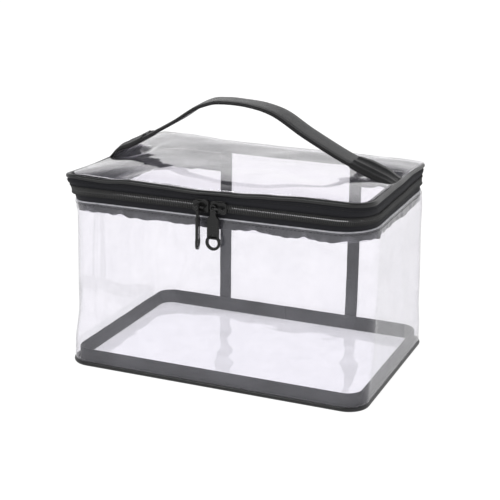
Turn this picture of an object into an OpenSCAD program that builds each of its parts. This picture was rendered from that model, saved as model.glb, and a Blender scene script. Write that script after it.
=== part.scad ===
// Clear zip-around makeup bag with a soft top handle.
// X runs along the front, -Y is the front, +Z is up. The origin is the middle of the base's underside.

/* [Bag] */
// Width of the bag along its front
bag_w = 240; // [200:1:280]
// Depth of the bag from front to back
bag_d = 165; // [140:1:200]
// Height from the base to the top of the lid piping
bag_h = 155; // [130:1:180]
// Radius of the four upright corners
corner_r = 22; // [16:1:40]

/* [Clear sheet] */
// Thickness of the clear vinyl sheet
sheet_t = 0.5; // [0.4:0.1:0.6]
// Half width of the clear back panel between its two upright seams
back_half_w = 57.5; // [45:0.5:70]

/* [Seams] */
// Diameter of the piping cord round the base and the lid
piping_d = 4; // [3.6:0.1:4.2]
// Height of the bound seam allowance inside the base and the lid
binding_h = 12; // [10:0.5:12]
// Thickness of one leaf of the binding tape
binding_t = 0.4; // [0.3:0.05:0.4]
// Width of the two upright seam bindings at the back
upright_w = 10; // [8:0.5:12]

/* [Zipper] */
// Height of the middle of the zipper above the base
zip_z = 141; // [120:1:141]
// Thickness of the woven zipper tape
tape_t = 0.6; // [0.4:0.1:0.6]
// Height over both rows of coil
coil_span = 6; // [5:0.2:6]
// How far the coil stands out from the tape
coil_t = 2.2; // [1.6:0.1:2.2]
// How far the folded hem of the wall lies below the middle of the zipper
hem_drop = 7.7; // [6:0.1:9]
// How far the lower tape runs down behind the hem
tape_overlap = 8; // [6:0.5:10]

/* [Sliders and pulls] */
// Length of a slider
slider_l = 12.5; // [11:0.5:13]
// Distance of each slider's middle from where the two meet, zipper shut
slider_x = 7; // [6.8:0.1:8]
// Where the two sliders meet, measured from the middle of the bag
slider_mid = 2; // [-5:0.5:5]
// Distance from a pull's pivot to the middle of its finger hole
pull_l = 25.6; // [22:0.1:32]
// Radius of the finger hole
pull_hole_r = 3.6; // [3:0.1:4]
// Thickness of a pull
pull_t = 2; // [1.6:0.1:2]
// How far the left pull is turned on its bar, in degrees
pull_yaw = 15; // [0:1:16]

/* [Handle] */
// Width of the strap
strap_w = 26; // [20:1:30]
// Thickness of the strap
strap_t = 2.4; // [1.6:0.1:2.6]
// Distance from the middle to where the strap's stitched ends begin
strap_split_x = 80; // [74:1:82]
// Length of the folded tab round each end of the strap
tab_l = 31; // [24:1:36]

/* [Hidden] */
$fn = 64;

black = [0.09, 0.09, 0.10];
binding_grey = [0.28, 0.28, 0.31];
clear = [0.90, 0.90, 0.97, 0.35];
gunmetal = [0.10, 0.10, 0.11];

straight_x = bag_w / 2 - corner_r;
straight_y = bag_d / 2 - corner_r;
piping_r = piping_d / 2;

// Insets are measured inwards from the outer face of the wall.
piping_inset = 1;
panel_inset = piping_inset + 1.4;
tape_inset = 0.6;
upright_inset = 1.3;
upright_t = 1.2;
binding_inset = 3.1;
flange_inset = 3.55;
flange_t = 0.3;
binding_gap = 0.95;

// Room left between pieces that lie against each other.
fit = 0.05;
wall_low = piping_d;
hinge_gap = 0.2;
sway_gap = 0.8;
seam_gap = 0.1;
hem_z = zip_z - hem_drop;
hem_h = 1.8;
hem_out = 0.4;
tape_gap = 0.6;
coil_gap = 0.55;

// The slider's layers, as distances outwards from the wall's outer face.
coil_out = coil_t - tape_inset;
plate_t = 1.2;
plate_out = coil_out + 0.3;
flange_out = -tape_inset + 0.3;
plate_in = -tape_inset - tape_t - 0.3;
slider_nose_w = 8.4;
slider_wide_w = 9.4;
jaw_w = 0.9;
post_w = 0.8;
post_l = 2.4;
bar_r = 0.8;
bar_out = plate_out + plate_t + 3.4;
leg_x = 3.4;

// The pull's outline, as distances down from its pivot.
eye_r = 2.6;
eye_hole_r = 1.25;
eye_slot_l = 2.6;
neck_l = 5.6;
neck_w = 4.4;
shoulder_l = 9;
shank_w = 10;
ring_r = 5.7;
flat_share = 0.95;
dish_l = 12;
dish_w = 5.6;
dish_deep = 0.35;
bar_pull_x = -0.6;
leg_pull_out = plate_out + plate_t + 1.3;

// The strap's middle line in X and Z: it rises steeply at the left and lies flatter at the right.
strap_points = [
    [-134, 147], [-115, 157.2], [-98, 163], [-66, 181.5], [-38, 198.3], [-9, 201.2],
    [19, 196.3], [45, 181.8], [75, 166.8], [98, 160], [115, 157.2], [134, 155]
];
strap_steps = 5;
tab_end_x = 115;
tab_leaf_t = 0.9;

// Catmull-Rom curve through the strap's points.
function curve_point(a, b, c, d, t) =
    0.5 * (2 * b + (c - a) * t + (2 * a - 5 * b + 4 * c - d) * t * t + (3 * b - a - 3 * c + d) * t * t * t);
function strap_line(p) = [
    for (i = [1 : len(p) - 3], s = [0 : strap_steps - 1])
        curve_point(p[i - 1], p[i], p[i + 1], p[i + 2], s / strap_steps),
    p[len(p) - 2]
];
function unit(v) = v / norm(v);
function line_direction(p, i) = unit(p[min(i + 1, len(p) - 1)] - p[max(i - 1, 0)]);
function beside(p, i, off) =
    let (d = line_direction(p, i)) p[i] + off * [-d[1], d[0]];
function reversed(p) = [for (i = [len(p) - 1 : -1 : 0]) p[i]];

strap_curve = strap_line(strap_points);

// A layer between two distances above the strap's middle line, cut to a range of X and as wide as the strap.
module strap_layer(low, high, x0, x1, wide) {
    outline = concat(
        [for (i = [0 : len(strap_curve) - 1]) beside(strap_curve, i, high)],
        reversed([for (i = [0 : len(strap_curve) - 1]) beside(strap_curve, i, low)])
    );
    intersection() {
        translate([0, wide / 2, 0]) rotate([90, 0, 0]) linear_extrude(wide) polygon(outline);
        translate([x0, -wide, 0]) cube([x1 - x0, 2 * wide, 2 * bag_h]);
    }
}

// Straight run of a profile along +X. In the profile X points outwards and Y up.
module run(x0, x1, out) {
    translate([x0, out, 0]) rotate([90, 0, 90]) linear_extrude(x1 - x0) children();
}

// Sweeps a profile round the bag. Its X is the distance outwards from the wall's outer face.
module round_bag(open_back = false) {
    if (open_back) {
        run(-straight_x, -back_half_w - seam_gap, bag_d / 2) children();
        run(back_half_w + seam_gap, straight_x, bag_d / 2) children();
    } else {
        run(-straight_x, straight_x, bag_d / 2) children();
    }
    rotate([0, 0, 90]) run(-straight_y, straight_y, bag_w / 2) children();
    rotate([0, 0, 180]) run(-straight_x, straight_x, bag_d / 2) children();
    rotate([0, 0, 270]) run(-straight_y, straight_y, bag_w / 2) children();
    for (corner = [[1, 1, 0], [-1, 1, 90], [-1, -1, 180], [1, -1, 270]])
        translate([corner[0] * straight_x, corner[1] * straight_y, 0])
            rotate([0, 0, corner[2]])
                rotate_extrude(angle = 90) translate([corner_r, 0]) children();
}

// Upright band of a profile: inset and thickness, from z0 to z1.
module band_profile(inset, t, z0, z1) {
    translate([-inset - t, z0]) square([t, z1 - z0]);
}

// Flat plate with the bag's rounded corners.
module plate(inset, t) {
    r = corner_r - inset;
    translate([-straight_x, -bag_d / 2 + inset, 0]) cube([2 * straight_x, bag_d - 2 * inset, t]);
    for (side = [-1, 1])
        translate([side * (straight_x + r / 2) - r / 2, -straight_y, 0]) cube([r, 2 * straight_y, t]);
    for (corner = [[1, 1, 0], [-1, 1, 90], [-1, -1, 180], [1, -1, 270]])
        translate([corner[0] * straight_x, corner[1] * straight_y, 0])
            rotate([0, 0, corner[2]]) rotate_extrude(angle = 90) square([r, t]);
}

// The lid's seam is the base's seam turned over.
module at_lid() {
    translate([0, 0, bag_h]) mirror([0, 0, 1]) children();
}

// Piping cord with the flange that is sewn into the seam.
module piping() {
    round_bag() {
        translate([-piping_inset, piping_r]) circle(piping_r);
        translate([-flange_inset - flange_t, piping_r])
            square([flange_inset + flange_t - piping_inset, flange_t]);
        band_profile(flange_inset, flange_t, piping_r, binding_h);
    }
}

// Binding tape folded over the seam allowance.
module seam_binding() {
    inner = binding_inset + binding_t + binding_gap;
    round_bag() {
        band_profile(binding_inset, binding_t, piping_r + flange_t + fit, binding_h + binding_t);
        band_profile(inner, binding_t, sheet_t + fit, binding_h + binding_t);
        band_profile(binding_inset, inner + binding_t - binding_inset, binding_h + fit, binding_h + binding_t);
    }
}

module base_panel() {
    color(clear) plate(panel_inset, sheet_t);
}

module base_piping() {
    color(black) piping();
}

module base_seam_binding() {
    color(binding_grey) seam_binding();
}

// One sheet round the front, the sides and the outer parts of the back, with a folded hem at its top.
module wall_panel() {
    color(clear) round_bag(open_back = true) {
        band_profile(0, sheet_t, wall_low, hem_z);
        band_profile(-hem_out, sheet_t + hem_out, hem_z - hem_h, hem_z);
    }
}

// Panel between the upright seams, from z0 to z1.
module middle_panel(z0, z1) {
    translate([-back_half_w + seam_gap, bag_d / 2 - sheet_t, z0])
        cube([2 * (back_half_w - seam_gap), sheet_t, z1 - z0]);
}

// Bound allowance of an upright back seam, from z0 to z1.
module upright_binding(side, z0, z1) {
    translate([side * back_half_w - upright_w / 2, bag_d / 2 - upright_inset - upright_t, z0])
        cube([upright_w, upright_t, z1 - z0]);
}

module back_panel() {
    color(clear) middle_panel(wall_low, zip_z - hinge_gap);
}

module hinge_panel() {
    color(clear) middle_panel(zip_z + hinge_gap, bag_h - wall_low);
}

module back_seam_binding(side) {
    color(binding_grey) upright_binding(side, wall_low + hinge_gap, zip_z - hinge_gap);
}

module hinge_seam_binding(side) {
    color(binding_grey) upright_binding(side, zip_z + hinge_gap, bag_h - wall_low - hinge_gap);
}

module zipper_tape_lower() {
    color(black) round_bag(open_back = true)
        band_profile(tape_inset, tape_t, hem_z - tape_overlap, zip_z - tape_gap);
}

module zipper_tape_upper() {
    color(black) round_bag(open_back = true)
        band_profile(tape_inset, tape_t, zip_z + tape_gap, bag_h - piping_d - 2 * fit);
}

// One row of coil on the tape's outer face, from z0 to z1, with its outer edges eased.
module coil_profile(z0, z1) {
    ease = 0.6;
    translate([-tape_inset, 0])
        polygon([[0, z0], [coil_t - ease, z0], [coil_t, z0 + ease], [coil_t, z1 - ease], [coil_t - ease, z1], [0, z1]]);
}

module zipper_coil_lower() {
    color(black) round_bag(open_back = true) coil_profile(zip_z - coil_span / 2, zip_z - coil_gap);
}

module zipper_coil_upper() {
    color(black) round_bag(open_back = true) coil_profile(zip_z + coil_gap, zip_z + coil_span / 2);
}

module lid_panel() {
    color(clear) at_lid() plate(panel_inset, sheet_t);
}

module lid_piping() {
    color(black) at_lid() piping();
}

module lid_seam_binding() {
    color(binding_grey) at_lid() seam_binding();
}

module handle_strap() {
    color(black)
        strap_layer(-strap_t / 2, strap_t / 2, -strap_split_x + sway_gap, strap_split_x - sway_gap, strap_w);
}

module handle_end(side) {
    x = [side * strap_split_x, side * (tab_end_x - 1)];
    color(black) strap_layer(-strap_t / 2, strap_t / 2, min(x), max(x), strap_w);
}

// Folded tab: a leaf above and a leaf below the strap's end.
module handle_tab(side) {
    x = [side * (tab_end_x - tab_l), side * tab_end_x];
    far = [side * (tab_end_x - 1 + fit), side * tab_end_x];
    color(black) {
        strap_layer(strap_t / 2 + fit, strap_t / 2 + tab_leaf_t, min(x), max(x), strap_w + 1);
        strap_layer(-strap_t / 2 - tab_leaf_t, -strap_t / 2 - fit, min(x), max(x), strap_w + 1);
        strap_layer(-strap_t / 2 - tab_leaf_t, strap_t / 2 + tab_leaf_t, min(far), max(far), strap_w + 1);
    }
}

// Stands a shape drawn with X along the zipper, Y up and Z outwards against the front at x, height z.
module at_front(x, z) {
    translate([x, -bag_d / 2, z]) rotate([90, 0, 0]) children();
}

// Plan of a slider plate. The wide end, where the tapes part, points along +X times the sign of wide.
module slider_plan(wide) {
    h = slider_l / 2;
    ease = 1.4;
    polygon([
        [-wide * h, -slider_nose_w / 2 + ease], [-wide * (h - ease), -slider_nose_w / 2],
        [wide * (h - ease), -slider_wide_w / 2], [wide * h, -slider_wide_w / 2 + ease],
        [wide * h, slider_wide_w / 2 - ease], [wide * (h - ease), slider_wide_w / 2],
        [-wide * (h - ease), slider_nose_w / 2], [-wide * h, slider_nose_w / 2 - ease]
    ]);
}

// Cast slider: two plates joined by a post, two jaws that hold the coil, and a bridge for the pull.
module slider(wide) {
    jaw_l = slider_l - 2.8;
    translate([0, 0, plate_out]) linear_extrude(plate_t) slider_plan(wide);
    translate([0, 0, plate_in - plate_t]) linear_extrude(plate_t) slider_plan(wide);
    translate([wide * (slider_l / 2 - 0.8 - post_l / 2) - post_l / 2, -post_w / 2, plate_in - plate_t])
        cube([post_l, post_w, plate_out + plate_t - plate_in]);
    for (side = [-1, 1])
        translate([-jaw_l / 2, side * (coil_span / 2 + 0.3 + jaw_w / 2) - jaw_w / 2, flange_out])
            cube([jaw_l, jaw_w, plate_out + plate_t - flange_out]);
    for (side = [-1, 1]) {
        translate([side * leg_x, 0, plate_out]) cylinder(h = bar_out - plate_out, r = bar_r);
        translate([side * leg_x, 0, bar_out]) sphere(bar_r);
    }
    translate([-leg_x, 0, bar_out]) rotate([0, 90, 0]) cylinder(h = 2 * leg_x, r = bar_r);
}

module slider_left() {
    color(gunmetal) at_front(slider_mid - slider_x, zip_z) slider(1);
}

module slider_right() {
    color(gunmetal) at_front(slider_mid + slider_x, zip_z) slider(-1);
}

// A pull that hangs down from its pivot at the origin. Its finger hole is round, with a flat top.
module pull() {
    translate([0, 0, -pull_t / 2]) difference() {
        union() {
            cylinder(h = pull_t, r = eye_r);
            linear_extrude(pull_t) polygon([
                [-neck_w / 2, 0], [neck_w / 2, 0], [neck_w / 2, -neck_l], [shank_w / 2, -shoulder_l],
                [shank_w / 2, -pull_l], [-shank_w / 2, -pull_l], [-shank_w / 2, -shoulder_l], [-neck_w / 2, -neck_l]
            ]);
            translate([0, -pull_l, 0]) cylinder(h = pull_t, r = ring_r);
        }
        translate([0, 0, -1]) cylinder(h = pull_t + 2, r = eye_hole_r);
        translate([-eye_hole_r, -eye_slot_l, -1]) cube([2 * eye_hole_r, eye_slot_l, pull_t + 2]);
        translate([0, -eye_slot_l, -1]) cylinder(h = pull_t + 2, r = eye_hole_r);
        translate([0, -pull_l, -1]) intersection() {
            cylinder(h = pull_t + 2, r = pull_hole_r);
            translate([-pull_hole_r, -pull_hole_r, 0])
                cube([2 * pull_hole_r, (1 + flat_share) * pull_hole_r, pull_t + 2]);
        }
        for (z = [-1, pull_t - dish_deep])
            translate([-dish_w / 2, -shoulder_l - dish_l, z]) cube([dish_w, dish_l, 1 + dish_deep]);
    }
}

// The left pull hangs on the bar of its bridge, edge on to the front.
module pull_left() {
    color(gunmetal) at_front(slider_mid - slider_x + bar_pull_x, zip_z)
        translate([0, 0, bar_out]) rotate([0, 90 + pull_yaw, 0]) pull();
}

// The right pull hangs on the inner leg of its bridge, flat to the front.
module pull_right() {
    color(gunmetal) at_front(slider_mid + slider_x - leg_x, zip_z) translate([0, 0, leg_pull_out]) pull();
}

base_panel();
base_piping();
base_seam_binding();
wall_panel();
back_panel();
back_seam_binding(-1);  // back_seam_binding_left
back_seam_binding(1);  // back_seam_binding_right
zipper_tape_lower();
zipper_coil_lower();
lid_panel();
lid_piping();
lid_seam_binding();
hinge_panel();
hinge_seam_binding(-1);  // hinge_seam_binding_left
hinge_seam_binding(1);  // hinge_seam_binding_right
zipper_tape_upper();
zipper_coil_upper();
handle_strap();
handle_end(-1);  // handle_end_left
handle_end(1);  // handle_end_right
handle_tab(-1);  // handle_tab_left
handle_tab(1);  // handle_tab_right
slider_left();
slider_right();
pull_left();
pull_right();
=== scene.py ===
import bpy
import bmesh
import math
from mathutils import Matrix, Vector, noise


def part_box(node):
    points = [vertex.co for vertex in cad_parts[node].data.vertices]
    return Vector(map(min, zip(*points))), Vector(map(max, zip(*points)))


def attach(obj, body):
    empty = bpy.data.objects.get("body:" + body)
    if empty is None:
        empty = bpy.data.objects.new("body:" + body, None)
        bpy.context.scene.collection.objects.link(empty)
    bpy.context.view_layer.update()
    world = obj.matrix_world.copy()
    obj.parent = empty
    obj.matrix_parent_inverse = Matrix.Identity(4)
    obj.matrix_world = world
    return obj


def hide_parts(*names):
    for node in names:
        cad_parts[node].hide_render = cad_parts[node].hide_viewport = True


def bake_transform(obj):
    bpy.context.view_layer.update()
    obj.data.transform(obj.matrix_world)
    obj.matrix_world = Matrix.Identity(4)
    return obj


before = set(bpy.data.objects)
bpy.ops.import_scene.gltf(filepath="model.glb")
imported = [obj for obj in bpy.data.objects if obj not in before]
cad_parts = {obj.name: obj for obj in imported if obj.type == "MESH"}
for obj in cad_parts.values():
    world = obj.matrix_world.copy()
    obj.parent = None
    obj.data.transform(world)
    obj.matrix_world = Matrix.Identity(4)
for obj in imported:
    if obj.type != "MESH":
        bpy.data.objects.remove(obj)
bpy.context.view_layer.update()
mm = 0.001

# The bag's outline, from the frame.
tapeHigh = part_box("zipper_tape_lower")[1]
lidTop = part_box("lid_panel")[1].z
coilLow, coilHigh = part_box("zipper_coil_lower")[0].z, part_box("zipper_coil_upper")[1].z
bag = {
    "halfX": tapeHigh.x + 0.6 * mm,      # outer face of the wall
    "halfY": tapeHigh.y + 0.6 * mm,
    "cornerR": 26 * mm,                  # corner radius along the zipper
    "top": lidTop,
    "zip": (coilLow + coilHigh) / 2,     # middle of the zipper
    "hem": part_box("wall_panel")[1].z,
    "seam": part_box("back_panel")[1].x + 0.1 * mm,   # half the width of the back panel
    # the piped seams pull the corners tighter than the walls between them: heights and radii
    "corners": [(0, 16), (14, 17), (46, 27), (131, 29), (141, 26), (150, 17), (155, 16)],
}
straightX = bag["halfX"] - bag["cornerR"]
straightY = bag["halfY"] - bag["cornerR"]
quarter = math.pi / 2 * bag["cornerR"]
halfRound = 2 * straightX + 2 * straightY + 2 * quarter
seamAt = halfRound - bag["seam"]         # distance round the outline to a back seam


def clamp(v, low=0.0, high=1.0):
    return max(low, min(high, v))


def smooth(v):
    v = clamp(v)
    return v * v * (3 - 2 * v)


def bell(v):
    return math.exp(-v * v)


# A value that eases between the pairs of a table; the table is in millimetres.
def eased(table, at):
    at = at / mm
    if at <= table[0][0]:
        return table[0][1] * mm
    for (a, low), (b, high) in zip(table, table[1:]):
        if at <= b:
            return (low + (high - low) * smooth((at - a) / (b - a))) * mm
    return table[-1][1] * mm


def stretch(at, length, longer, free):
    # keeps the middle of a straight side as it is and lengthens its end
    return at + (longer - length) * smooth((abs(at) / length - free) / (1 - free)) * (1 if at >= 0 else -1)


# A place on the outline: s runs round the bag from the middle of the front, to the right.
def onOutline(s, radius):
    s = (s + halfRound) % (2 * halfRound) - halfRound
    side, d = (1, s) if s >= 0 else (-1, -s)
    longX, longY = bag["halfX"] - radius, bag["halfY"] - radius
    if d < straightX:
        at, out = (stretch(d, straightX, longX, 0.65), -bag["halfY"]), (0, -1)
    elif d < straightX + quarter:
        a = (d - straightX) / bag["cornerR"]
        out = (math.sin(a), -math.cos(a))
        at = (longX + radius * out[0], -longY + radius * out[1])
    elif d < straightX + quarter + 2 * straightY:
        at, out = (bag["halfX"], stretch(d - straightX - quarter - straightY, straightY, longY, 0.5)), (1, 0)
    elif d < straightX + 2 * quarter + 2 * straightY:
        a = (d - straightX - quarter - 2 * straightY) / bag["cornerR"]
        out = (math.cos(a), math.sin(a))
        at = (longX + radius * out[0], longY + radius * out[1])
    else:
        at, out = (stretch(halfRound - d, straightX, longX, 0.65), bag["halfY"]), (0, 1)
    return Vector((side * at[0], at[1], 0)), Vector((side * out[0], out[1], 0))


# The distance round the outline that lies straight out from a place on the lid or the base.
def roundFrom(x, y):
    k = 1 / max(abs(x) / bag["halfX"], abs(y) / bag["halfY"], 1e-6)
    x, y = x * k, y * k
    turn = quarter / 2 / bag["cornerR"]
    overX, overY = max(abs(x) - straightX, 0), max(abs(y) - straightY, 0)
    if abs(y) >= bag["halfY"] - 1e-7:
        d = min(abs(x), straightX) + overX * turn
        d = d if y < 0 else halfRound - d
    else:
        fromFront = straightX + quarter + straightY
        d = fromFront + math.copysign(min(abs(y), straightY) + overY * turn, y)
    return d if x >= 0 else -d


# How far the soft bag strays from its plain shape. Each table pairs distances round the outline with
# amounts, all in millimetres.
slack = {
    # how far the lid's edge hangs
    "lidEdge": [(-383, 6.1), (-344, 5.4), (-320, 4.4), (-300, 2.4), (-286, 1.2), (-268, 0.6), (-250, 1.5),
                (-220, 3.2), (-190, 4.6), (-160, 5.0), (-135, 4.3), (-115, 3.2), (-103, 2.6), (-92, 3.2),
                (-80, 3.8), (-66, 2.3), (-39, 2.8), (-12, 3.7), (18, 2.8), (46, 1.2), (72, 0), (160, 0),
                (220, 0.6), (250, 2.2), (268, 4.4), (285, 5.2), (320, 4.8), (370, 6.0), (383, 6.1)],
    # how far the folded hem rises or falls
    "hem": [(-383, -1.5), (-250, -0.5), (-160, -2), (-118, -2.6), (-93, -0.8), (0, -0.5), (92, -0.1),
            (160, 0.5), (250, 0), (383, -1.5)],
    # how far the lid's edge is pushed out
    "flare": [(-200, 0), (-150, 0.5), (-118, 2.6), (-96, 0), (130, 0), (180, -0.8), (240, -2.8),
              (265, -4.6), (300, -1.2), (330, 0)],
    "swell": 1.8 * mm,       # slow swell of the walls
}


def soften(p, s):
    x, y, z = p
    rise = smooth((z - 142 * mm) / (12 * mm))      # the sliders need the zipper itself straight
    atHem = smooth((z - 92 * mm) / (40 * mm)) * (1 - smooth((z - 133 * mm) / (22 * mm)))
    dz = eased(slack["hem"], s) * atHem - eased(slack["lidEdge"], s) * rise
    middle = smooth((z - 10 * mm) / (40 * mm)) * smooth((126 * mm - z) / (34 * mm))
    swell = noise.noise(Vector((x * 14, y * 14, z * 11))) * slack["swell"] * middle
    outward = Vector((x / bag["halfX"], y / bag["halfY"], 0))
    if outward.length > 1e-6:
        outward.normalize()
    near = clamp((abs(x) / bag["halfX"]) ** 8 + (abs(y) / bag["halfY"]) ** 8)
    swell += eased(slack["flare"], s) * smooth((z - 118 * mm) / (30 * mm))
    return Vector((x, y, z + dz)) + outward * swell * near


def onBag(s, out, z):
    s = (s + halfRound) % (2 * halfRound) - halfRound
    at, away = onOutline(s, eased(bag["corners"], z))
    return soften(at + away * out + Vector((0, 0, z)), s)


# Mesh helpers.
# Pieces that follow the bag are made flat, with x along, y outwards and z up, and wrapped round it.
def sweep(profile, start, end, steps, closed=False):
    bm = bmesh.new()
    ring = [bm.verts.new((start, out, z)) for out, z in profile]
    pairs = list(zip(ring, ring[1:])) + ([(ring[-1], ring[0])] if closed else [])
    edges = [bm.edges.new(pair) for pair in pairs]
    uvMap = bm.loops.layers.uv.new("flat")
    step = Vector(((end - start) / steps, 0, 0))
    for _ in range(steps):
        moved = bmesh.ops.extrude_edge_only(bm, edges=edges)["geom"]
        edges = [g for g in moved if isinstance(g, bmesh.types.BMEdge) and len(g.link_faces) == 1
                 and all(v in moved for v in g.verts)]
        bmesh.ops.translate(bm, vec=step, verts=[g for g in moved if isinstance(g, bmesh.types.BMVert)])
    heights = {}
    travelled = 0
    for i, (out, z) in enumerate(profile):
        if i:
            travelled += math.hypot(out - profile[i - 1][0], z - profile[i - 1][1])
        heights[(round(out, 7), round(z, 7))] = travelled
    for face in bm.faces:
        for loop in face.loops:
            co = loop.vert.co
            loop[uvMap].uv = (co.x, heights.get((round(co.y, 7), round(co.z, 7)), co.z))
    return bm


def wrapRound(bm, wave=None):
    for v in bm.verts:
        s, out, z = v.co
        if wave:
            out, z = wave(s, out, z)
        v.co = onBag(s, out, z)
    return bm


def plate(halfX, halfY, radius, stepsX, stepsY):
    bm = bmesh.new()
    bmesh.ops.create_grid(bm, x_segments=stepsX, y_segments=stepsY, size=1)
    uvMap = bm.loops.layers.uv.new("flat")
    for v in bm.verts:
        x, y = v.co.x * halfX, v.co.y * halfY
        a = (abs(x) - halfX + radius) / radius
        b = (abs(y) - halfY + radius) / radius
        if a > 0 and b > 0:
            a, b = a * math.sqrt(1 - b * b / 2), b * math.sqrt(1 - a * a / 2)
            x = math.copysign(halfX - radius + a * radius, x)
            y = math.copysign(halfY - radius + b * radius, y)
        v.co = (x, y, 0)
    for face in bm.faces:
        for loop in face.loops:
            loop[uvMap].uv = loop.vert.co.xy
    return bm


def makePiece(name, bm, material, body=None, standsFor=(), closed=False, sharp=40,
              second=None):
    bmesh.ops.remove_doubles(bm, verts=bm.verts, dist=1e-6)
    if closed:
        bmesh.ops.recalc_face_normals(bm, faces=bm.faces)
    mesh = bpy.data.meshes.new(name)
    bm.to_mesh(mesh)
    bm.free()
    mesh.shade_smooth()
    mesh.set_sharp_from_angle(angle=math.radians(sharp))
    piece = bpy.data.objects.new(name, mesh)
    bpy.context.scene.collection.objects.link(piece)
    mesh.materials.append(material)
    if second:
        mesh.materials.append(second)
    if body:
        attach(piece, body)
    if standsFor:
        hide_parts(*standsFor)
    return piece


def thicken(piece, thickness):
    solid = piece.modifiers.new("thickness", "SOLIDIFY")
    solid.thickness = thickness
    solid.offset = 0
    return piece


# Repeats a small shape at even steps along x, with an Array modifier that is applied at once.
def repeatAlong(bm, pitch, count, start):
    mesh = bpy.data.meshes.new("repeat")
    bm.to_mesh(mesh)
    bm.free()
    holder = bpy.data.objects.new("repeat", mesh)
    bpy.context.scene.collection.objects.link(holder)
    row = holder.modifiers.new("row", "ARRAY")
    row.count = count
    row.use_relative_offset = False
    row.use_constant_offset = True
    row.constant_offset_displace = (pitch, 0, 0)
    bpy.context.view_layer.update()
    whole = holder.evaluated_get(bpy.context.evaluated_depsgraph_get())
    result = bmesh.new()
    result.from_mesh(whole.to_mesh())
    whole.to_mesh_clear()
    bpy.data.objects.remove(holder)
    bpy.data.meshes.remove(mesh)
    bmesh.ops.translate(result, vec=(start, 0, 0), verts=result.verts)
    return result


def stitch(length, width, lift):
    bm = bmesh.new()
    bmesh.ops.create_uvsphere(bm, u_segments=8, v_segments=4, radius=1)
    bmesh.ops.scale(bm, vec=(width / 2, lift, length / 2), verts=bm.verts)
    bmesh.ops.rotate(bm, cent=(0, 0, 0), matrix=Matrix.Rotation(math.radians(90), 3, "Y"), verts=bm.verts)
    return bm


# Shader helpers.
class Wire:
    # one output of a node; sums and products of wires and numbers add Math nodes
    def __init__(self, tree, socket=None):
        self.tree = tree
        self.socket = socket

    def add(self, kind, settings=None, sockets=None, output=0):
        node = self.tree.nodes.new("ShaderNode" + kind)
        for name, value in (settings or {}).items():
            if name == "stops":
                while len(node.color_ramp.elements) < len(value):
                    node.color_ramp.elements.new(0.5)
                for element, (place, colour) in zip(node.color_ramp.elements, value):
                    element.position = place
                    element.color = colour
            else:
                setattr(node, name, value)
        for key, value in (sockets or {}).items():
            if isinstance(value, Wire):
                self.tree.links.new(value.socket, node.inputs[key])
            else:
                node.inputs[key].default_value = value
        return Wire(self.tree, node.outputs[output])

    def math(self, operation, a, b=0.0, limit=False):
        return self.add("Math", {"operation": operation, "use_clamp": limit}, {0: a, 1: b})

    def __add__(self, other):
        return self.math("ADD", self, other)

    def __radd__(self, other):
        return self.math("ADD", other, self)

    def __sub__(self, other):
        return self.math("SUBTRACT", self, other)

    def __rsub__(self, other):
        return self.math("SUBTRACT", other, self)

    def __mul__(self, other):
        return self.math("MULTIPLY", self, other)

    def __rmul__(self, other):
        return self.math("MULTIPLY", other, self)

    def __pow__(self, other):
        return self.math("POWER", self, other)


def newLook(name):
    material = bpy.data.materials.new(name)
    material.use_nodes = True
    material.node_tree.nodes.clear()
    return material, Wire(material.node_tree)


def finishLook(material, shader):
    out = shader.tree.nodes.new("ShaderNodeOutputMaterial")
    shader.tree.links.new(shader.socket, out.inputs["Surface"])
    return material


def grey(v, tint=(1, 1, 1)):
    return (v * tint[0], v * tint[1], v * tint[2], 1)


def mixColour(w, factor, a, b):
    return w.add("Mix", {"data_type": "RGBA"}, {"Factor": factor, 6: a, 7: b}, output=2)


def noiseOn(w, where, scale, detail=3.0, roughness=0.5):
    return w.add("TexNoise", None, {"Vector": where, "Scale": scale, "Detail": detail,
                                    "Roughness": roughness})


def stretched(w, where, x, y, z):
    return w.add("Mapping", None, {"Vector": where, "Scale": (x, y, z)})


vinyl = {
    "wallTint": (0.992, 0.987, 1.0, 1),   # what one face lets through
    "lidTint": (0.972, 0.960, 0.985, 1),
    "baseTint": (0.975, 0.970, 0.992, 1),
    "glossHeadOn": 0.03,
    "roughness": 0.04,
    "haze": 0.05,
}


def clearVinylLook(name, tint, crinkle, across):
    material, w = newLook(name)
    place = w.add("TexCoord", output="Object")
    facing = w.add("LayerWeight", None, {"Blend": 0.5}, output="Facing")
    mirror = w.math("ADD", facing ** 5 * (1 - vinyl["glossHeadOn"]), vinyl["glossHeadOn"], limit=True)
    slow = noiseOn(w, stretched(w, place, *across), 1.0, 2.0, 0.45)
    fine = noiseOn(w, place, 260.0, 2.0)
    height = slow + fine * 0.006
    bump = w.add("Bump", None, {"Strength": crinkle, "Distance": 0.004, "Height": height})
    shine = w.add("BsdfAnisotropic", None,
                  {"Color": (1, 1, 1, 1), "Roughness": vinyl["roughness"], "Normal": bump})
    through = w.add("BsdfTransparent", None, {"Color": tint})
    smudge = noiseOn(w, place, 35.0, 4.0, 0.6)
    milk = w.add("BsdfPrincipled", None, {"Base Color": (0.88, 0.88, 0.98, 1), "Roughness": 0.5})
    haze = smudge * (2 * vinyl["haze"])
    body = w.add("MixShader", None, {0: haze, 1: through, 2: milk})
    return finishLook(material, w.add("MixShader", None, {0: mirror, 1: body, 2: shine}))


def pipingLook():
    material, w = newLook("pipingVinyl")
    place = w.add("TexCoord", output="Object")
    grain = w.add("TexVoronoi", None, {"Vector": place, "Scale": 1900.0})
    cloud = noiseOn(w, place, 60.0)
    bump = w.add("Bump", None, {"Strength": 0.25, "Distance": 0.0003, "Height": grain})
    colour = mixColour(w, cloud, grey(0.006, (1, 1, 1.08)), grey(0.014, (1, 1, 1.08)))
    rough = cloud * 0.2 + 0.26
    return finishLook(material, w.add("BsdfPrincipled", None, {
        "Base Color": colour, "Roughness": rough, "Normal": bump, "Coat Weight": 0.15,
        "Coat Roughness": 0.2}))


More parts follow.
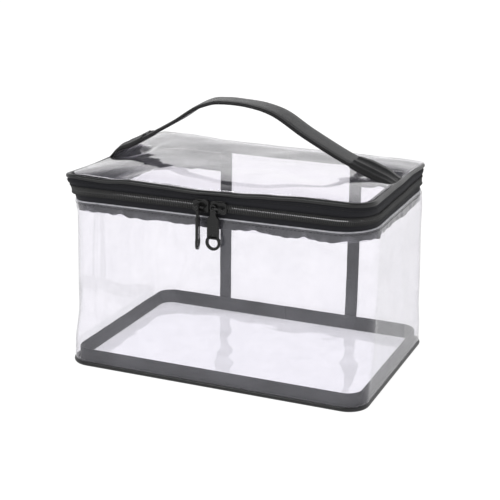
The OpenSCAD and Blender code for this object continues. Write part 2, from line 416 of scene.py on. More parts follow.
def wovenLook(name, dark, light, along, across, roughness, depth):
    material, w = newLook(name)
    flat = w.add("TexCoord", output="UV")
    warp = w.add("TexWave", {"wave_type": "BANDS", "bands_direction": "X"},
                 {"Vector": flat, "Scale": along, "Distortion": 0.0})
    weft = w.add("TexWave", {"wave_type": "BANDS", "bands_direction": "Y"},
                 {"Vector": flat, "Scale": across, "Distortion": 0.0})
    weave = w.math("MAXIMUM", warp, weft)
    fuzz = noiseOn(w, stretched(w, flat, 900, 2600, 1), 1.0, 3.0)
    height = weave + fuzz * 0.4
    bump = w.add("Bump", None, {"Strength": 0.6, "Distance": depth, "Height": height})
    colour = mixColour(w, w.math("MULTIPLY", height, 0.7, limit=True), grey(dark, (1, 1.01, 1.2)),
                       grey(light, (1, 1.01, 1.2)))
    return finishLook(material, w.add("BsdfPrincipled", None, {
        "Base Color": colour, "Roughness": fuzz * 0.15 + roughness, "Normal": bump,
        "Sheen Weight": 0.06, "Sheen Roughness": 0.4, "Specular IOR Level": 0.25}))


def nylonLook(name, value, roughness):
    material, w = newLook(name)
    place = w.add("TexCoord", output="Object")
    cloud = noiseOn(w, place, 420.0)
    bump = w.add("Bump", None, {"Strength": 0.15, "Distance": 0.0002, "Height": noiseOn(w, place, 3000.0)})
    colour = mixColour(w, cloud, grey(value * 0.7), grey(value * 1.3))
    return finishLook(material, w.add("BsdfPrincipled", None, {
        "Base Color": colour, "Roughness": cloud * 0.15 + roughness, "Normal": bump}))


def leatherLook(name, dark, light, roughness):
    material, w = newLook(name)
    flat = w.add("TexCoord", output="UV")
    warped = w.add("VectorMath", {"operation": "MULTIPLY_ADD"}, {
        0: w.add("TexNoise", None, {"Vector": flat, "Scale": 700.0}, output="Color"),
        1: (0.0006, 0.0006, 0), 2: flat})
    pebble = w.add("TexVoronoi", {"feature": "DISTANCE_TO_EDGE"}, {"Vector": warped, "Scale": 1000.0})
    valley = w.math("MULTIPLY", pebble, 5.0, limit=True)
    cloud = noiseOn(w, flat, 45.0, 4.0)
    bump = w.add("Bump", None, {"Strength": 0.5, "Distance": 0.00025, "Height": valley + cloud * 0.5})
    shade = w.math("MULTIPLY", valley, 0.35) + cloud * 0.65
    colour = mixColour(w, shade, grey(dark, (1, 1.01, 1.09)), grey(light, (1, 1.01, 1.09)))
    return finishLook(material, w.add("BsdfPrincipled", None, {
        "Base Color": colour, "Roughness": roughness - valley * 0.08 + cloud * 0.1, "Normal": bump,
        "Coat Weight": 0.08, "Coat Roughness": 0.28, "Specular IOR Level": 0.2}))


def enamelLook():
    material, w = newLook("blackEnamel")
    place = w.add("TexCoord", output="Object")
    cloud = noiseOn(w, place, 500.0, 3.0)
    bump = w.add("Bump", None, {"Strength": 0.12, "Distance": 0.0004, "Height": noiseOn(w, place, 1400.0)})
    # the colour turns lighter on sharp edges, found by pointiness
    edge = w.add("NewGeometry", output="Pointiness")
    sharpEdgeLighter = w.math("MULTIPLY", w.math("SUBTRACT", edge, 0.56, limit=True), 4.0, limit=True)
    colour = mixColour(w, sharpEdgeLighter, mixColour(w, cloud, grey(0.006), grey(0.013)), grey(0.04))
    return finishLook(material, w.add("BsdfPrincipled", None, {
        "Base Color": colour, "Roughness": cloud * 0.18 + 0.2, "Normal": bump, "Coat Weight": 0.15,
        "Coat Roughness": 0.12, "Specular IOR Level": 0.4}))


# Vinyl looks whiter where it is folded on itself; this white is also a painted highlight for the light that
# the glossy fold catches.
def foldHighlightVinylLook():
    material, w = newLook("foldHighlightVinyl")
    place = w.add("TexCoord", output="Object")
    cloud = noiseOn(w, place, 160.0, 3.0)
    # painted highlight: the milky white stands for the fold's own whiteness and for the highlight along it
    milk = w.add("BsdfPrincipled", None, {
        "Base Color": mixColour(w, cloud, (0.70, 0.70, 0.76, 1), (0.92, 0.92, 0.97, 1)), "Roughness": 0.22})
    through = w.add("BsdfTransparent", None, {"Color": vinyl["wallTint"]})
    return finishLook(material, w.add("MixShader", None, {0: cloud * 0.5 + 0.35, 1: through, 2: milk}))


foldHighlightVinyl = foldHighlightVinylLook()
wallVinyl = clearVinylLook("clearWall", vinyl["wallTint"], 0.35, (22, 22, 9))
flatVinyl = clearVinylLook("clearLid", vinyl["lidTint"], 0.35, (11, 20, 14))
baseVinyl = clearVinylLook("clearBase", vinyl["baseTint"], 0.3, (14, 14, 14))
pipingBlack = pipingLook()
bindingTape = wovenLook("bindingTape", 0.008, 0.022, 520, 260, 0.38, 0.00008)
zipperTape = wovenLook("zipperTape", 0.010, 0.026, 480, 480, 0.75, 0.00015)
coilNylon = nylonLook("coilNylon", 0.065, 0.5)
thread = nylonLook("sewingThread", 0.014, 0.6)
strapLeather = leatherLook("strapLeather", 0.010, 0.027, 0.33)
edgePaint = nylonLook("edgePaint", 0.006, 0.45)
enamel = enamelLook()
print("materials ready")

# The strap's line comes first, because the lid's film lies against the strap's ends.
strap = {
    "line": [(-124, 143), (-117, 150.8), (-110, 157.6), (-98, 163.2), (-66, 181.5), (-38, 198.6),
             (-9, 201.1), (19, 196.3), (45, 181.9), (75, 166.8), (93, 160.3), (103, 156.4), (114, 152.2),
             (130, 146)],
    "width": 26 * mm,
    "thickness": 2.5 * mm,
    # across the bag, how many degrees the front edge is tipped up
    "tips": [(-120, 0), (-95, -3), (-38, -3), (-26, 1.5), (-9, 3.1), (8, 2), (30, 0), (80, 0), (93, -5.5),
             (103, -5), (112, 0)],
    "tabWidth": 27 * mm,
    "tabs": (("left", -1, 90 * mm), ("right", 1, 82 * mm)),     # where each tab starts
    "tabEnd": 117.4 * mm,
    "tabThickness": 4.0 * mm,
    "sewnAt": 114 * mm,      # how far from the middle the strap's ends are
    "paint": 0.9 * mm,       # how wide the painted edge is
}


def curvePoint(a, b, c, d, t):
    square, cube = 2 * a - 5 * b + 4 * c - d, 3 * b - a - 3 * c + d
    return 0.5 * (2 * b + (c - a) * t + square * t ** 2 + cube * t ** 3)


def strapLine(steps=24):
    knots = [Vector((x * mm, 0, z * mm)) for x, z in strap["line"]]
    line = []
    for i in range(1, len(knots) - 2):
        line += [curvePoint(*knots[i - 1:i + 3], j / steps) for j in range(steps)]
    return line + [knots[-2]]


strapCurve = strapLine()
reach = [0.0]
for a, b in zip(strapCurve, strapCurve[1:]):
    reach.append(reach[-1] + (b - a).length)


def atReach(d):
    # the point and the direction at a distance along the strap, carried straight on past its ends
    if d <= 0:
        way = (strapCurve[1] - strapCurve[0]).normalized()
        return strapCurve[0] + way * d, way
    if d >= reach[-1]:
        way = (strapCurve[-1] - strapCurve[-2]).normalized()
        return strapCurve[-1] + way * (d - reach[-1]), way
    i = next(k for k in range(1, len(reach)) if reach[k] >= d)
    t = (d - reach[i - 1]) / (reach[i] - reach[i - 1])
    before = strapCurve[max(i - 2, 0)]
    after = strapCurve[min(i + 1, len(strapCurve) - 1)]
    return strapCurve[i - 1].lerp(strapCurve[i], t), (after - before).normalized()


def reachAt(x):
    # distance along the strap at a place across the bag
    i = next((k for k in range(1, len(strapCurve)) if strapCurve[k].x >= x), len(strapCurve) - 1)
    a, b = strapCurve[i - 1].x, strapCurve[i].x
    return reach[i - 1] + (reach[i] - reach[i - 1]) * (x - a) / (b - a)


# Clear panels.
wall = {
    "thickness": 0.5 * mm,
    "foot": 2.6 * mm,        # height of the walls' lower edge
    "hemDrop": 7.5 * mm,     # how far the folded hem comes down inside
    "bead": 0.75 * mm,       # radius of the fold
    "steps": 520,
    "rows": 44,
}


def creases(s, out, z):
    # upright creases that fade towards the base and the hem
    tall = smooth((z - 6 * mm) / (30 * mm)) * smooth((122 * mm - z) / (30 * mm))
    ridge = 1 - abs(noise.noise(Vector((s * 34, 0.7, z * 5))))
    gather = smooth((z - 112 * mm) / (16 * mm)) * smooth((bag["hem"] - 2 * mm - z) / (6 * mm))
    out += (ridge ** 6 - 0.35) * 0.5 * mm * tall
    out += noise.noise(Vector((s * 150, 3.1, z * 105))) * 1.2 * mm * gather
    return out, z


def wallProfile():
    bead = wall["bead"]
    rising = [(0.0, wall["foot"] + (bag["hem"] - bead - wall["foot"]) * i / wall["rows"])
              for i in range(wall["rows"] + 1)]
    turn = [(-bead + bead * math.cos(a), bag["hem"] - bead + bead * math.sin(a))
            for a in [math.pi * i / 6 for i in range(1, 6)]]
    falling = [(-2 * bead, bag["hem"] - bead - wall["hemDrop"] * i / 4) for i in range(5)]
    return rising + turn + falling


bm = sweep(wallProfile(), -seamAt, seamAt, wall["steps"])
# the faces along the front and top of the fold take the second material, the white that paints in the fold's
# highlight
for face in bm.faces:
    at = face.calc_center_median()
    face.material_index = 1 if at.z > bag["hem"] - 1.1 * mm and at.y > -1.2 * wall["bead"] else 0
wrapRound(bm, creases)
wallSheet = thicken(makePiece("wall_sheet", bm, wallVinyl, "bag_body", ["wall_panel"],
                              second=foldHighlightVinyl), wall["thickness"])
2 * seamAt
bag["hem"] + wall["hemDrop"]

backRows = 34
backTop = bag["top"] - 2.6 * mm
profile = [(0.0, wall["foot"] + (backTop - wall["foot"]) * i / backRows) for i in range(backRows + 1)]
bm = wrapRound(sweep(profile, seamAt, 2 * halfRound - seamAt, 60), creases)
backSheet = thicken(makePiece("back_sheet", bm, wallVinyl), wall["thickness"])
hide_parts("back_panel", "hinge_panel")
2 * bag["seam"]

lid = {
    "inset": 2.4 * mm,
    "corner": 14 * mm,
    "middle": 2.2 * mm,      # how far the middle hangs below the highest part of the rim
    "puff": 5.5 * mm,        # how far the film swells above its rim
    "ripple": 0.9 * mm,
    "belowStrap": 2.5 * mm,  # how far under the strap's middle the film is held
}
bm = plate(bag["halfX"] - lid["inset"], bag["halfY"] - lid["inset"], lid["corner"], 110, 78)
for v in bm.verts:
    x, y = v.co.x, v.co.y
    u, t = abs(x / bag["halfX"]), abs(y / bag["halfY"])
    toRim = max(u, t) ** 3
    hang = eased(slack["lidEdge"], roundFrom(x, y)) * toRim + lid["middle"] * (1 - toRim)
    swell = lid["puff"] * (1 - u ** 8) * (1 - t ** 6)
    underStrap = bell(y / (18 * mm)) * smooth((abs(x) - 85 * mm) / (15 * mm))
    ripple = noise.noise(Vector((x * 17, y * 24, 0.3))) + 0.5 * noise.noise(Vector((x * 40, y * 46, 4.1)))
    ripple *= lid["ripple"] * (1 - u ** 6) * (1 - t ** 6)
    v.co.z = bag["top"] - 0.6 * mm - hang + (swell + ripple) * (1 - underStrap)
    held = bell((y / (16 * mm)) ** 2) * smooth((abs(x) - 92 * mm) / (10 * mm))
    held *= 1 - smooth((abs(x) - 112 * mm) / (5.6 * mm))
    v.co.z += held * (atReach(reachAt(x))[0].z - lid["belowStrap"] - v.co.z)
lidSheet = thicken(makePiece("lid_sheet", bm, flatVinyl, "lid", ["lid_panel"]),
                   wall["thickness"])
2 * bag["halfX"]
2 * bag["halfY"]
4 * bag["halfX"] * bag["halfY"] * 0.98

base = {
    "low": 0.9 * mm,         # lowest height of the film's middle
    "ripple": 2.6 * mm,      # the film lies in low waves
}
bm = plate(bag["halfX"] - lid["inset"], bag["halfY"] - lid["inset"], lid["corner"], 110, 78)
for v in bm.verts:
    x, y = v.co.x, v.co.y
    inner = clamp(1 - (x / bag["halfX"]) ** 6) * clamp(1 - (y / bag["halfY"]) ** 6)
    wave = noise.noise(Vector((x * 22, y * 22, 7.7))) + 0.3 * noise.noise(Vector((x * 60, y * 60, 1.7)))
    v.co.z = base["low"] + base["ripple"] * clamp(0.5 + 0.6 * wave) * inner
baseSheet = thicken(makePiece("base_sheet", bm, baseVinyl, "bag_body", ["base_panel"]),
                    wall["thickness"])
2 * bag["halfX"]
2 * bag["halfY"]
4 * bag["halfX"] * bag["halfY"] * 0.98
print("clear panels ready")

# Piping and bound seams.
seams = {
    "cordR": 2.0 * mm,
    "cordInset": 1.0 * mm,
    "height": 12.4 * mm,
    "wave": 0.8 * mm,        # how far the bindings wander
    "leaf": 0.55 * mm,
    "outerLeaf": 3.7 * mm,   # how far inside the wall each leaf stands
    "innerLeaf": 5.5 * mm,
}
stitches = {
    "pitch": 3.2 * mm,
    "length": 2.3 * mm,
    "width": 0.45 * mm,
    "lift": 0.22 * mm,
    "seam": 8.6 * mm,        # height of the row on a binding, from the bag's edge
    "proud": 0.32 * mm,      # how far that row stands off its leaf
}


def cordProfile(z, up):
    # a round cord; the flange of its cover is hidden in the seam and isn't made
    count = 14
    ring = []
    for i in range(count):
        a = 2 * math.pi * i / count
        ring.append((-seams["cordInset"] + seams["cordR"] * math.cos(a),
                     z + up * seams["cordR"] * math.sin(a)))
    return ring


def bindingProfile(z, up):
    # a tape folded over the seam allowance: up the outer leaf, round the fold and down the inner leaf
    outer, inner, high = -seams["outerLeaf"], -seams["innerLeaf"], seams["height"]
    middle, radius = (outer + inner) / 2, (outer - inner) / 2
    rise = [(outer, z + up * (1.6 * mm + (high - radius - 1.6 * mm) * i / 4)) for i in range(5)]
    fold = [(middle + radius * math.cos(a), z + up * (high - radius + radius * math.sin(a)))
            for a in [math.pi * i / 6 for i in range(1, 6)]]
    fall = [(inner, z + up * (high - radius - (high - radius - 1.0 * mm) * i / 4)) for i in range(5)]
    return rise + fold + fall


def bindingWave(strength, phase):
    def wave(s, out, z):
        away = 0.5 * noise.noise(Vector((s * 38, phase, 0)))
        away += 0.25 * noise.noise(Vector((s * 110, phase, 3)))
        free = smooth(abs(z - phase) / seams["height"])
        return out + away * strength * free, z + away * 0.35 * strength * free
    return wave


def fullRound(profile, steps, closed=False):
    return sweep(profile, -halfRound, halfRound, steps, closed)


for where, z, up, body in (("base", 0.0, 1, "bag_body"), ("lid", bag["top"], -1, "lid")):
    bm = wrapRound(fullRound(cordProfile(z + up * seams["cordR"], up), 420, closed=True))
    makePiece(where + "_cord", bm, pipingBlack, body, [where + "_piping"], closed=True)
    bm = wrapRound(fullRound(bindingProfile(z, up), 420), bindingWave(seams["wave"], z))
    piece = makePiece(where + "_binding", bm, bindingTape, body, [where + "_seam_binding"])
    thicken(piece, seams["leaf"])


def seamStitches(out, z, start, end, pitch=stitches["pitch"], wave=None):
    count = int((end - start) / pitch)
    one = stitch(stitches["length"], stitches["width"], stitches["lift"])
    bm = repeatAlong(one, pitch, count, start + pitch / 2)
    bmesh.ops.translate(bm, vec=(0, out, z), verts=bm.verts)
    return wrapRound(bm, wave)


leafStitch = -seams["innerLeaf"] - stitches["proud"]
bm = seamStitches(leafStitch, stitches["seam"], -halfRound, halfRound, wave=bindingWave(seams["wave"], 0.0))
makePiece("base_stitches", bm, thread, "bag_body", (), closed=True)
bm = seamStitches(leafStitch, bag["top"] - stitches["seam"], -halfRound, halfRound,
                  wave=bindingWave(seams["wave"], bag["top"]))
makePiece("lid_stitches", bm, thread, "lid", (), closed=True)

# upright bindings of the back seams
upright = {"width": 10 * mm, "inset": 1.9 * mm, "thickness": 1.0 * mm}
for name, side in (("left", -1), ("right", 1)):
    low, high = 4 * mm, bag["top"] - 4 * mm
    middle = side * seamAt
    bm = bmesh.new()
    bmesh.ops.create_grid(bm, x_segments=8, y_segments=60, size=1)
    uvMap = bm.loops.layers.uv.new("flat")
    for v in bm.verts:
        across, height = v.co.x * upright["width"] / 2, low + (v.co.y + 1) / 2 * (high - low)
        wobble = 0.6 * mm * noise.noise(Vector((height * 60, side, across * 40)))
        crown = 0.35 * mm * (1 - (v.co.x) ** 4)
        v.co = (middle + across + wobble * 0.5, -upright["inset"] - crown + wobble * 0.4, height)
    for face in bm.faces:
        for loop in face.loops:
            loop[uvMap].uv = (loop.vert.co.z, loop.vert.co.x)
    wrapRound(bm)
    piece = thicken(makePiece("back_binding_" + name, bm, bindingTape), upright["thickness"])
    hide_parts("back_seam_binding_" + name, "hinge_seam_binding_" + name)
    bag["zip"] - 7 * mm
    bag["zip"] + 7 * mm
    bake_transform(piece)
bag["zip"] - 7 * mm
bag["zip"] + 7 * mm
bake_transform(backSheet)
print("piping and bindings ready")

# Zipper.
zipper = {
    "pitch": 1.42 * mm,
    "toothLong": 3.5 * mm,
    "toothWide": 0.80 * mm,
    "toothDeep": 1.5 * mm,
    "overlap": 0.35 * mm,    # how far each row reaches past the middle
    "tape": 0.6 * mm,
    "tapeInset": 0.9 * mm,
    "tapeEdge": 0.7 * mm,    # from the zipper's middle to the edge of each tape
    "endGap": 3 * mm,        # from a back seam to the end of the coil
    "sewn": 2.7 * mm,        # from the zipper's middle to the thread that holds the coil
    "tapeSwell": 1.0 * mm,   # how far the upper tape bulges between the coil and the piping
}


def tooth(up):
    # one turn of the coil, lying across the tape, with a rounded head at the middle
    bm = bmesh.new()
    bmesh.ops.create_cube(bm, size=1)
    bmesh.ops.scale(bm, vec=(zipper["toothWide"], zipper["toothDeep"], zipper["toothLong"]), verts=bm.verts)
    bmesh.ops.bevel(bm, geom=bm.edges[:], offset=0.34 * mm, segments=2, profile=0.5, affect="EDGES",
                    material=-1)
    for v in bm.verts:
        reach = v.co.z / zipper["toothLong"] + 0.5
        v.co.x *= 1.0 + 0.16 * (reach if up > 0 else 1 - reach) * -1
        v.co.y += 0.06 * mm * math.cos((reach - 0.5) * math.pi)
    middle = up * (zipper["toothLong"] / 2 - zipper["overlap"])
    bmesh.ops.translate(bm, vec=(0, 0.35 * mm, bag["zip"] + middle), verts=bm.verts)
    return bm


count = int(2 * (seamAt - zipper["endGap"]) / zipper["pitch"])
for name, up, body in (("lower", -1, "bag_body"), ("upper", 1, "lid")):
    start = -seamAt + zipper["endGap"] + (zipper["pitch"] / 2 if up > 0 else 0)
    bm = wrapRound(repeatAlong(tooth(up), zipper["pitch"], count, start))
    makePiece("coil_" + name, bm, coilNylon, body, ["zipper_coil_" + name], closed=True,
              sharp=60)
    bm = seamStitches(1.22 * mm, bag["zip"] + up * zipper["sewn"], -seamAt + zipper["endGap"],
                      seamAt - zipper["endGap"], pitch=zipper["pitch"])
    makePiece("coil_thread_" + name, bm, thread, body, (), closed=True)


def tapeWave(s, out, z):
    # the free lower edge of the tape waves behind the clear wall
    free = smooth((bag["hem"] - z) / (8 * mm))
    wave = noise.noise(Vector((s * 42, 2.2, 0))) + 0.6 * noise.noise(Vector((s * 130, 5.1, 0)))
    return out - 0.9 * mm * free * (0.6 + wave), z + 2.3 * mm * free * wave


lowTape = [(-zipper["tapeInset"], bag["hem"] - 8.2 * mm + 1.02 * mm * i) for i in range(13)]
lowTape.append((-zipper["tapeInset"], bag["zip"] - zipper["tapeEdge"]))
bm = wrapRound(sweep(lowTape, -seamAt, seamAt, 520), tapeWave)
thicken(makePiece("tape_lower", bm, zipperTape, "bag_body", ["zipper_tape_lower"]),
        zipper["tape"])
tapeTop = bag["top"] - 3.6 * mm
highTape = []
for i in range(15):
    bulge = zipper["tapeSwell"] * math.sin(math.pi * i / 14) ** 2
    rise = (tapeTop - bag["zip"] - zipper["tapeEdge"]) * i / 14
    highTape.append((-zipper["tapeInset"] + 0.5 * mm * smooth(i / 14) + bulge,
                     bag["zip"] + zipper["tapeEdge"] + rise))
bm = wrapRound(sweep(highTape, -seamAt, seamAt, 420))
thicken(makePiece("tape_upper", bm, zipperTape, "lid", ["zipper_tape_upper"]), zipper["tape"])
bm = seamStitches(0.62 * mm, bag["top"] - 5.6 * mm, -seamAt + zipper["endGap"], seamAt - zipper["endGap"])
makePiece("tape_stitches", bm, thread, "lid", (), closed=True)
bm = seamStitches(0.42 * mm, bag["hem"] - 2.4 * mm, -seamAt + zipper["endGap"], seamAt - zipper["endGap"])
makePiece("hem_stitches", bm, thread, "bag_body", (), closed=True)
print("zipper ready")

# Sliders and pulls.
slider = {
    "meet": 2 * mm,          # where the two sliders meet, from the middle of the bag
    "x": 7 * mm,
    "length": 12.5 * mm,
    "nose": 8.4 * mm,
    "wide": 9.6 * mm,
    "jaw": 4.35 * mm,        # from the zipper's middle to a jaw
    "jawThick": 0.85 * mm,
    "jawTall": 2.3 * mm,
    "post": (2.4 * mm, 0.9 * mm, 5.2 * mm),
    "plate": 1.0 * mm,
    "plateOut": 2.1 * mm,
    "plateIn": -2.8 * mm,
    "legX": 3.4 * mm,
    "barOut": 6.5 * mm,
    "barR": 0.8 * mm,
    "legOut": 4.4 * mm,      # where the right pull hangs on the bridge's leg
}
sliderZ = bag["zip"]


def sliderPlate(bm, depth, turned):
    # a plate that narrows to its nose, with a waist, eased all round
    made = bmesh.ops.create_grid(bm, x_segments=10, y_segments=4, size=0.5)["verts"]
    for v in made:
        along = v.co.x + 0.5
        half = slider["nose"] / 2 + (slider["wide"] - slider["nose"]) / 2 * smooth(along)
        half *= 1 - 0.16 * bell((along - 0.42) / 0.2)
        ends = 1 - 0.22 * (abs(v.co.x * 2) ** 8)
        v.co = (v.co.x * slider["length"] * turned, v.co.y * 2 * half * ends, depth)
    faces = list({f for v in made for f in v.link_faces})
    top = bmesh.ops.extrude_face_region(bm, geom=faces)["geom"]
    verts = [g for g in top if isinstance(g, bmesh.types.BMVert)]
    bmesh.ops.translate(bm, vec=(0, 0, slider["plate"]), verts=verts)
    return bm


def bridge(bm):
    # the pull's bridge: a round bar that rises, runs along the slider and comes down again
    turn = 1.1 * mm
    made = bmesh.ops.create_circle(bm, segments=12, radius=slider["barR"])["verts"]
    bmesh.ops.translate(bm, vec=(-slider["legX"], 0, slider["plateOut"]), verts=made)
    edges = list({e for v in made for e in v.link_edges})

    def rise(edges, vec):
        moved = bmesh.ops.extrude_edge_only(bm, edges=edges)["geom"]
        bmesh.ops.translate(bm, vec=vec, verts=[g for g in moved if isinstance(g, bmesh.types.BMVert)])
        return [g for g in moved if isinstance(g, bmesh.types.BMEdge) and len(g.link_faces) == 1]

    def bend(edges, centre):
        last = bmesh.ops.spin(bm, geom=edges, cent=centre, axis=(0, 1, 0), dvec=(0, 0, 0),
                              angle=math.radians(90), steps=4)["geom_last"]
        return [g for g in last if isinstance(g, bmesh.types.BMEdge)]

    straight = slider["barOut"] - slider["plateOut"] - turn
    edges = rise(edges, (0, 0, straight))
    edges = bend(edges, (-slider["legX"] + turn, 0, slider["barOut"] - turn))
    edges = rise(edges, (2 * (slider["legX"] - turn), 0, 0))
    edges = bend(edges, (slider["legX"] - turn, 0, slider["barOut"] - turn))
    rise(edges, (0, 0, -straight))
    return bm


def sliderMesh(turned):
    bm = bmesh.new()
    sliderPlate(bm, slider["plateOut"], turned)
    sliderPlate(bm, slider["plateIn"], turned)
    for side in (-1, 1):     # the jaws that hold the two rows of coil
        jaw = bmesh.ops.create_cube(bm, size=1)["verts"]
        size = (slider["length"] - 2.8 * mm, slider["jawThick"], slider["jawTall"])
        bmesh.ops.scale(bm, vec=size, verts=jaw)
        bmesh.ops.translate(bm, vec=(0, side * slider["jaw"], 0.9 * mm), verts=jaw)
    post = bmesh.ops.create_cube(bm, size=1)["verts"]
    bmesh.ops.scale(bm, vec=slider["post"], verts=post)
    bmesh.ops.translate(bm, vec=(turned * (slider["length"] / 2 - 2 * mm), 0, 0.3 * mm), verts=post)
    bmesh.ops.recalc_face_normals(bm, faces=bm.faces)
    edges = [e for e in bm.edges if len(e.link_faces) == 2 and e.calc_face_angle() > math.radians(50)]
    bmesh.ops.bevel(bm, geom=edges, offset=0.28 * mm, segments=3, profile=0.5, affect="EDGES", material=-1)
    return bridge(bm)


# Turns a shape drawn with x along the zipper, y up and z outwards to stand against the front.
def atFront(bm, x, out, z, spin=0.0):
    bmesh.ops.rotate(bm, cent=(0, 0, 0), matrix=Matrix.Rotation(spin, 3, "Y"), verts=bm.verts)
    bmesh.ops.rotate(bm, cent=(0, 0, 0), matrix=Matrix.Rotation(math.radians(90), 3, "X"), verts=bm.verts)
    bmesh.ops.translate(bm, vec=(x, -bag["halfY"] - out, z), verts=bm.verts)
    return bm


for name, turned in (("left", 1), ("right", -1)):
    bm = atFront(sliderMesh(turned), slider["meet"] - turned * slider["x"], 0, sliderZ)
    makePiece("slider_body_" + name, bm, enamel, "slider_" + name, ["slider_" + name],
              closed=True)

pull = {
    "thick": 2.0 * mm,
    "length": 25.6 * mm,     # pivot to the middle of the finger hole
    "ringR": 5.8 * mm,
    "holeR": 3.75 * mm,
    "holeFlat": 0.66,        # where the flat top of the hole cuts its circle
    "eyeR": 2.6 * mm,
    "eyeHole": 1.25 * mm,
    "neck": 4.4 * mm,
    "neckEnd": -5.2 * mm,
    "shoulder": -8.4 * mm,
    "shank": 9.2 * mm,
    "shankTop": -1.75 * mm,
    "slid": 0.6 * mm,        # how far the left pull has slid along its bar
    "panel": (-9.8 * mm, -20.4 * mm),
    "yaw": math.radians(15),     # how far the left pull is turned on its bar
}


# A flat washer between two round outlines; the hole may have a flat top.
def washer(bm, outer, inner, y, flat=1.0):
    edges = []
    for radius, cut in ((outer, 1.0), (inner, flat)):
        ring = bmesh.ops.create_circle(bm, segments=44, radius=radius)["verts"]
        for v in ring:
            v.co.y = min(v.co.y, radius * cut)
        bmesh.ops.translate(bm, vec=(0, y, 0), verts=ring)
        edges += list({e for v in ring for e in v.link_edges})
    return bmesh.ops.bridge_loops(bm, edges=edges)["faces"]


def shankFaces(bm, foot):
    made = bmesh.ops.create_grid(bm, x_segments=6, y_segments=16, size=0.5)["verts"]
    for v in made:
        y = pull["shankTop"] + (foot - pull["shankTop"]) * (0.5 - v.co.y)
        flare = smooth((pull["neckEnd"] - y) / (pull["neckEnd"] - pull["shoulder"]))
        wide = pull["neck"] + (pull["shank"] - pull["neck"]) * flare
        v.co = (v.co.x * wide, y, 0)
    return list({f for v in made for f in v.link_faces})


def pullMesh():
    bm = bmesh.new()
    faces = washer(bm, pull["ringR"], pull["holeR"], -pull["length"], pull["holeFlat"])
    faces += washer(bm, pull["eyeR"], pull["eyeHole"], 0)
    faces += shankFaces(bm, -pull["length"] + pull["holeR"] * 0.9)
    bmesh.ops.translate(bm, vec=(0, 0, -pull["thick"] / 2), verts=bm.verts)
    top = bmesh.ops.extrude_face_region(bm, geom=faces)["geom"]
    verts = [g for g in top if isinstance(g, bmesh.types.BMVert)]
    bmesh.ops.translate(bm, vec=(0, 0, pull["thick"]), verts=verts)
    bmesh.ops.recalc_face_normals(bm, faces=bm.faces)
    edges = [e for e in bm.edges if len(e.link_faces) == 2 and e.calc_face_angle() > math.radians(50)]
    bmesh.ops.bevel(bm, geom=edges, offset=0.32 * mm, segments=3, profile=0.5, affect="EDGES", material=-1)
    for side in (-1, 1):     # a shallow panel sunk in each face of the shank
        panel = [f for f in bm.faces if f.normal.z * side > 0.99
                 and pull["panel"][1] < f.calc_center_median().y < pull["panel"][0]
                 and abs(f.calc_center_median().x) < 3.4 * mm]
        bmesh.ops.inset_region(bm, faces=panel, thickness=0.5 * mm, depth=-0.28 * mm, use_even_offset=True)
    return bm


leftX = slider["meet"] - slider["x"] - pull["slid"]
bm = atFront(pullMesh(), leftX, slider["barOut"], sliderZ, spin=math.radians(90) + pull["yaw"])
makePiece("pull_tab_left", bm, enamel, "pull_left", ["pull_left"], closed=True)
rightX = slider["meet"] + slider["x"] - slider["legX"]
bm = atFront(pullMesh(), rightX, slider["legOut"], sliderZ)
makePiece("pull_tab_right", bm, enamel, "pull_right", ["pull_right"], closed=True)
print("sliders and pulls ready")

# Handle.
def placeOnStrap(d, across, lift):
    at, way = atReach(d)
    up = Vector((-way.z, 0, way.x))
    tip = math.radians(eased(strap["tips"], at.x) / mm)
    y = across * math.cos(tip) - lift * math.sin(tip)
    rise = -across * math.sin(tip) + lift * math.cos(tip)
    return at + up * rise + Vector((0, y, 0))


def bandProfile(width, thickness, surface):
    # a closed section: the top from front to back, a rounded edge, the underside and the other edge
    half, r, count = width / 2, thickness / 2, 24
    top = [(-half + r + (width - 2 * r) * i / count) for i in range(count + 1)]
    section = [(y, r + surface(y)) for y in top]
    section += [(half - r + r * math.cos(a), r * math.sin(a))
                for a in [math.pi * (0.5 - i / 6) for i in range(1, 6)]]
    section += [(y, -r) for y in reversed(top)]
    section += [(-half + r - r * math.cos(a), r * math.sin(a))
                for a in [math.pi * (-0.5 + i / 6) for i in range(1, 6)]]
    return section


def strapSurface(y):
    # a padded middle with a pressed line along each edge
    edge = abs(y) / (strap["width"] / 2)
    return 0.45 * mm * (1 - edge ** 4) - 0.28 * mm * bell((edge - 0.80) / 0.05)


def tabSurface(y):
    # two raised ribs with a channel between them
    edge = abs(y) / (strap["tabWidth"] / 2)
    return 1.15 * mm * bell((edge - 0.42) / 0.17) + 0.35 * mm * (1 - edge ** 6)


def capEnds(bm):
    holes = [e for e in bm.edges if len(e.link_faces) == 1]
    bmesh.ops.holes_fill(bm, edges=holes, sides=200)
    return bm


# The painted edges take the second material, then the flat band is laid along the strap's line.
def layOnStrap(bm, width):
    for face in bm.faces:
        face.material_index = 1 if abs(face.calc_center_median().y) > width / 2 - strap["paint"] else 0
    for v in bm.verts:
        v.co = placeOnStrap(*v.co)
    return bm


bm = capEnds(sweep(bandProfile(strap["width"], strap["thickness"], strapSurface),
                   reachAt(-strap["sewnAt"]), reachAt(strap["sewnAt"]), 180, closed=True))
strapBand = makePiece("strap_band", layOnStrap(bm, strap["width"]), strapLeather, closed=True, sharp=60,
                      second=edgePaint)
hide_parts("handle_strap", "handle_end_left", "handle_end_right")
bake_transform(strapBand)

for name, side, start in strap["tabs"]:
    ends = sorted((reachAt(side * start), reachAt(side * strap["tabEnd"])))
    section = bandProfile(strap["tabWidth"], strap["tabThickness"], tabSurface)
    bm = capEnds(sweep(section, *ends, 44, closed=True))
    for v in bm.verts:       # the tab thins out towards the seam that holds it
        out = clamp((abs(atReach(v.co.x)[0].x) - 104 * mm) / (14 * mm))
        v.co.z *= 1 - 0.45 * smooth(out)
    makePiece("tab_" + name, layOnStrap(bm, strap["tabWidth"]), strapLeather, "lid", ["handle_tab_" + name],
              closed=True, sharp=60, second=edgePaint)
print("handle ready")

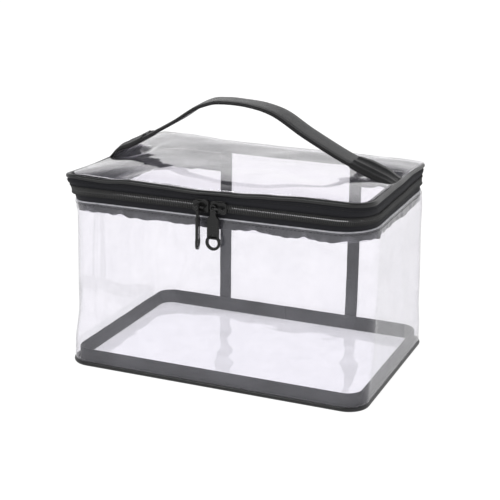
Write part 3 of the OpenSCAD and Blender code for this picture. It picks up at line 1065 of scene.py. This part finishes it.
# Stage, light and camera.
def addArea(name, power, size, place, aim):
    light = bpy.data.lights.new(name, "AREA")
    light.energy = power
    light.size = size
    lamp = bpy.data.objects.new(name, light)
    lamp.location = place
    lamp.rotation_euler = (Vector(place) - Vector(aim)).to_track_quat("Z", "Y").to_euler()
    bpy.context.scene.collection.objects.link(lamp)


bm = bmesh.new()
bmesh.ops.create_grid(bm, x_segments=1, y_segments=1, size=6)
floorLook, w = newLook("paleFloor")
speck = noiseOn(w, w.add("TexCoord", output="Object"), 90.0)
dull, lit = [w.add("BsdfPrincipled", None, {     # the floor as the bag sees it and as the camera does
    "Base Color": mixColour(w, speck, grey(0.19), grey(0.21)), "Roughness": 0.9,
    "Specular IOR Level": 0.1, "Emission Color": grey(1), "Emission Strength": glow})
    for glow in (0.60, 0.95)]
toCamera = w.add("LightPath", output="Is Camera Ray")
finishLook(floorLook, w.add("MixShader", None, {0: toCamera, 1: dull, 2: lit}))
floorMesh = bpy.data.meshes.new("floor")
bm.to_mesh(floorMesh)
bm.free()
floor = bpy.data.objects.new("floor", floorMesh)
floorMesh.materials.append(floorLook)
bpy.context.scene.collection.objects.link(floor)

studio = {
    "backdrop": 1.0,         # what the camera sees behind the bag
    "dim": 0.30,             # light from the front and from above
    "bright": 0.75,          # what the low light all round adds to it
    "front": 0.5,            # the share of that light in front of the bag
    "aim": (0, 0, 0.08),
    "lamps": (("key", 3.5, 0.35, (-0.5, -1.0, 1.1)), ("fill", 1.5, 1.4, (1.3, -0.7, 1.0))),
}
world = bpy.data.worlds.new("studio")
bpy.context.scene.world = world
world.use_nodes = True
world.node_tree.nodes.clear()
w = Wire(world.node_tree)
towards = w.add("TexCoord", output="Generated")
depth = w.add("SeparateXYZ", None, {0: towards}, output=1)
height = w.add("SeparateXYZ", None, {0: towards}, output=2)
eases = {"interpolation_type": "SMOOTHSTEP"}
behind = w.add("MapRange", eases, {"Value": depth, "From Min": -0.35, "From Max": 0.25,
                                   "To Min": studio["front"]})
low = w.add("MapRange", eases, {"Value": height, "From Min": 0.8, "From Max": 0.4})
level = behind * low * studio["bright"] + studio["dim"]
seen = w.add("LightPath", output="Is Camera Ray")
strength = seen * studio["backdrop"] + (1 - seen) * level
background = w.add("Background", None, {"Color": (1, 1, 1, 1), "Strength": strength})
finishWorld = world.node_tree.nodes.new("ShaderNodeOutputWorld")
world.node_tree.links.new(background.socket, finishWorld.inputs["Surface"])

for name, power, size, place in studio["lamps"]:
    addArea(name, power, size, place, studio["aim"])

view = {
    "azimuth": math.radians(22.45),
    "elevation": math.radians(17.15),
    "roll": math.radians(0.73),
    "distance": 0.9913,
    "target": Vector((-0.00166, 0, 0.08461)),
    "lens": 90.8,
    "sensor": 36,
}
away = Vector((math.sin(view["azimuth"]) * math.cos(view["elevation"]),
               -math.cos(view["azimuth"]) * math.cos(view["elevation"]), math.sin(view["elevation"])))
camera = bpy.data.objects.new("camera", bpy.data.cameras.new("camera"))
camera.data.lens = view["lens"]
camera.data.sensor_width = view["sensor"]
camera.location = view["target"] + away * view["distance"]
facingBag = away.to_track_quat("Z", "Y").to_matrix() @ Matrix.Rotation(view["roll"], 3, "Z")
camera.rotation_euler = facingBag.to_euler()
bpy.context.scene.collection.objects.link(camera)
bpy.context.scene.camera = camera
bpy.context.scene.view_settings.view_transform = "Standard"
bpy.context.scene.cycles.transparent_max_bounces = 40
print("stage ready")
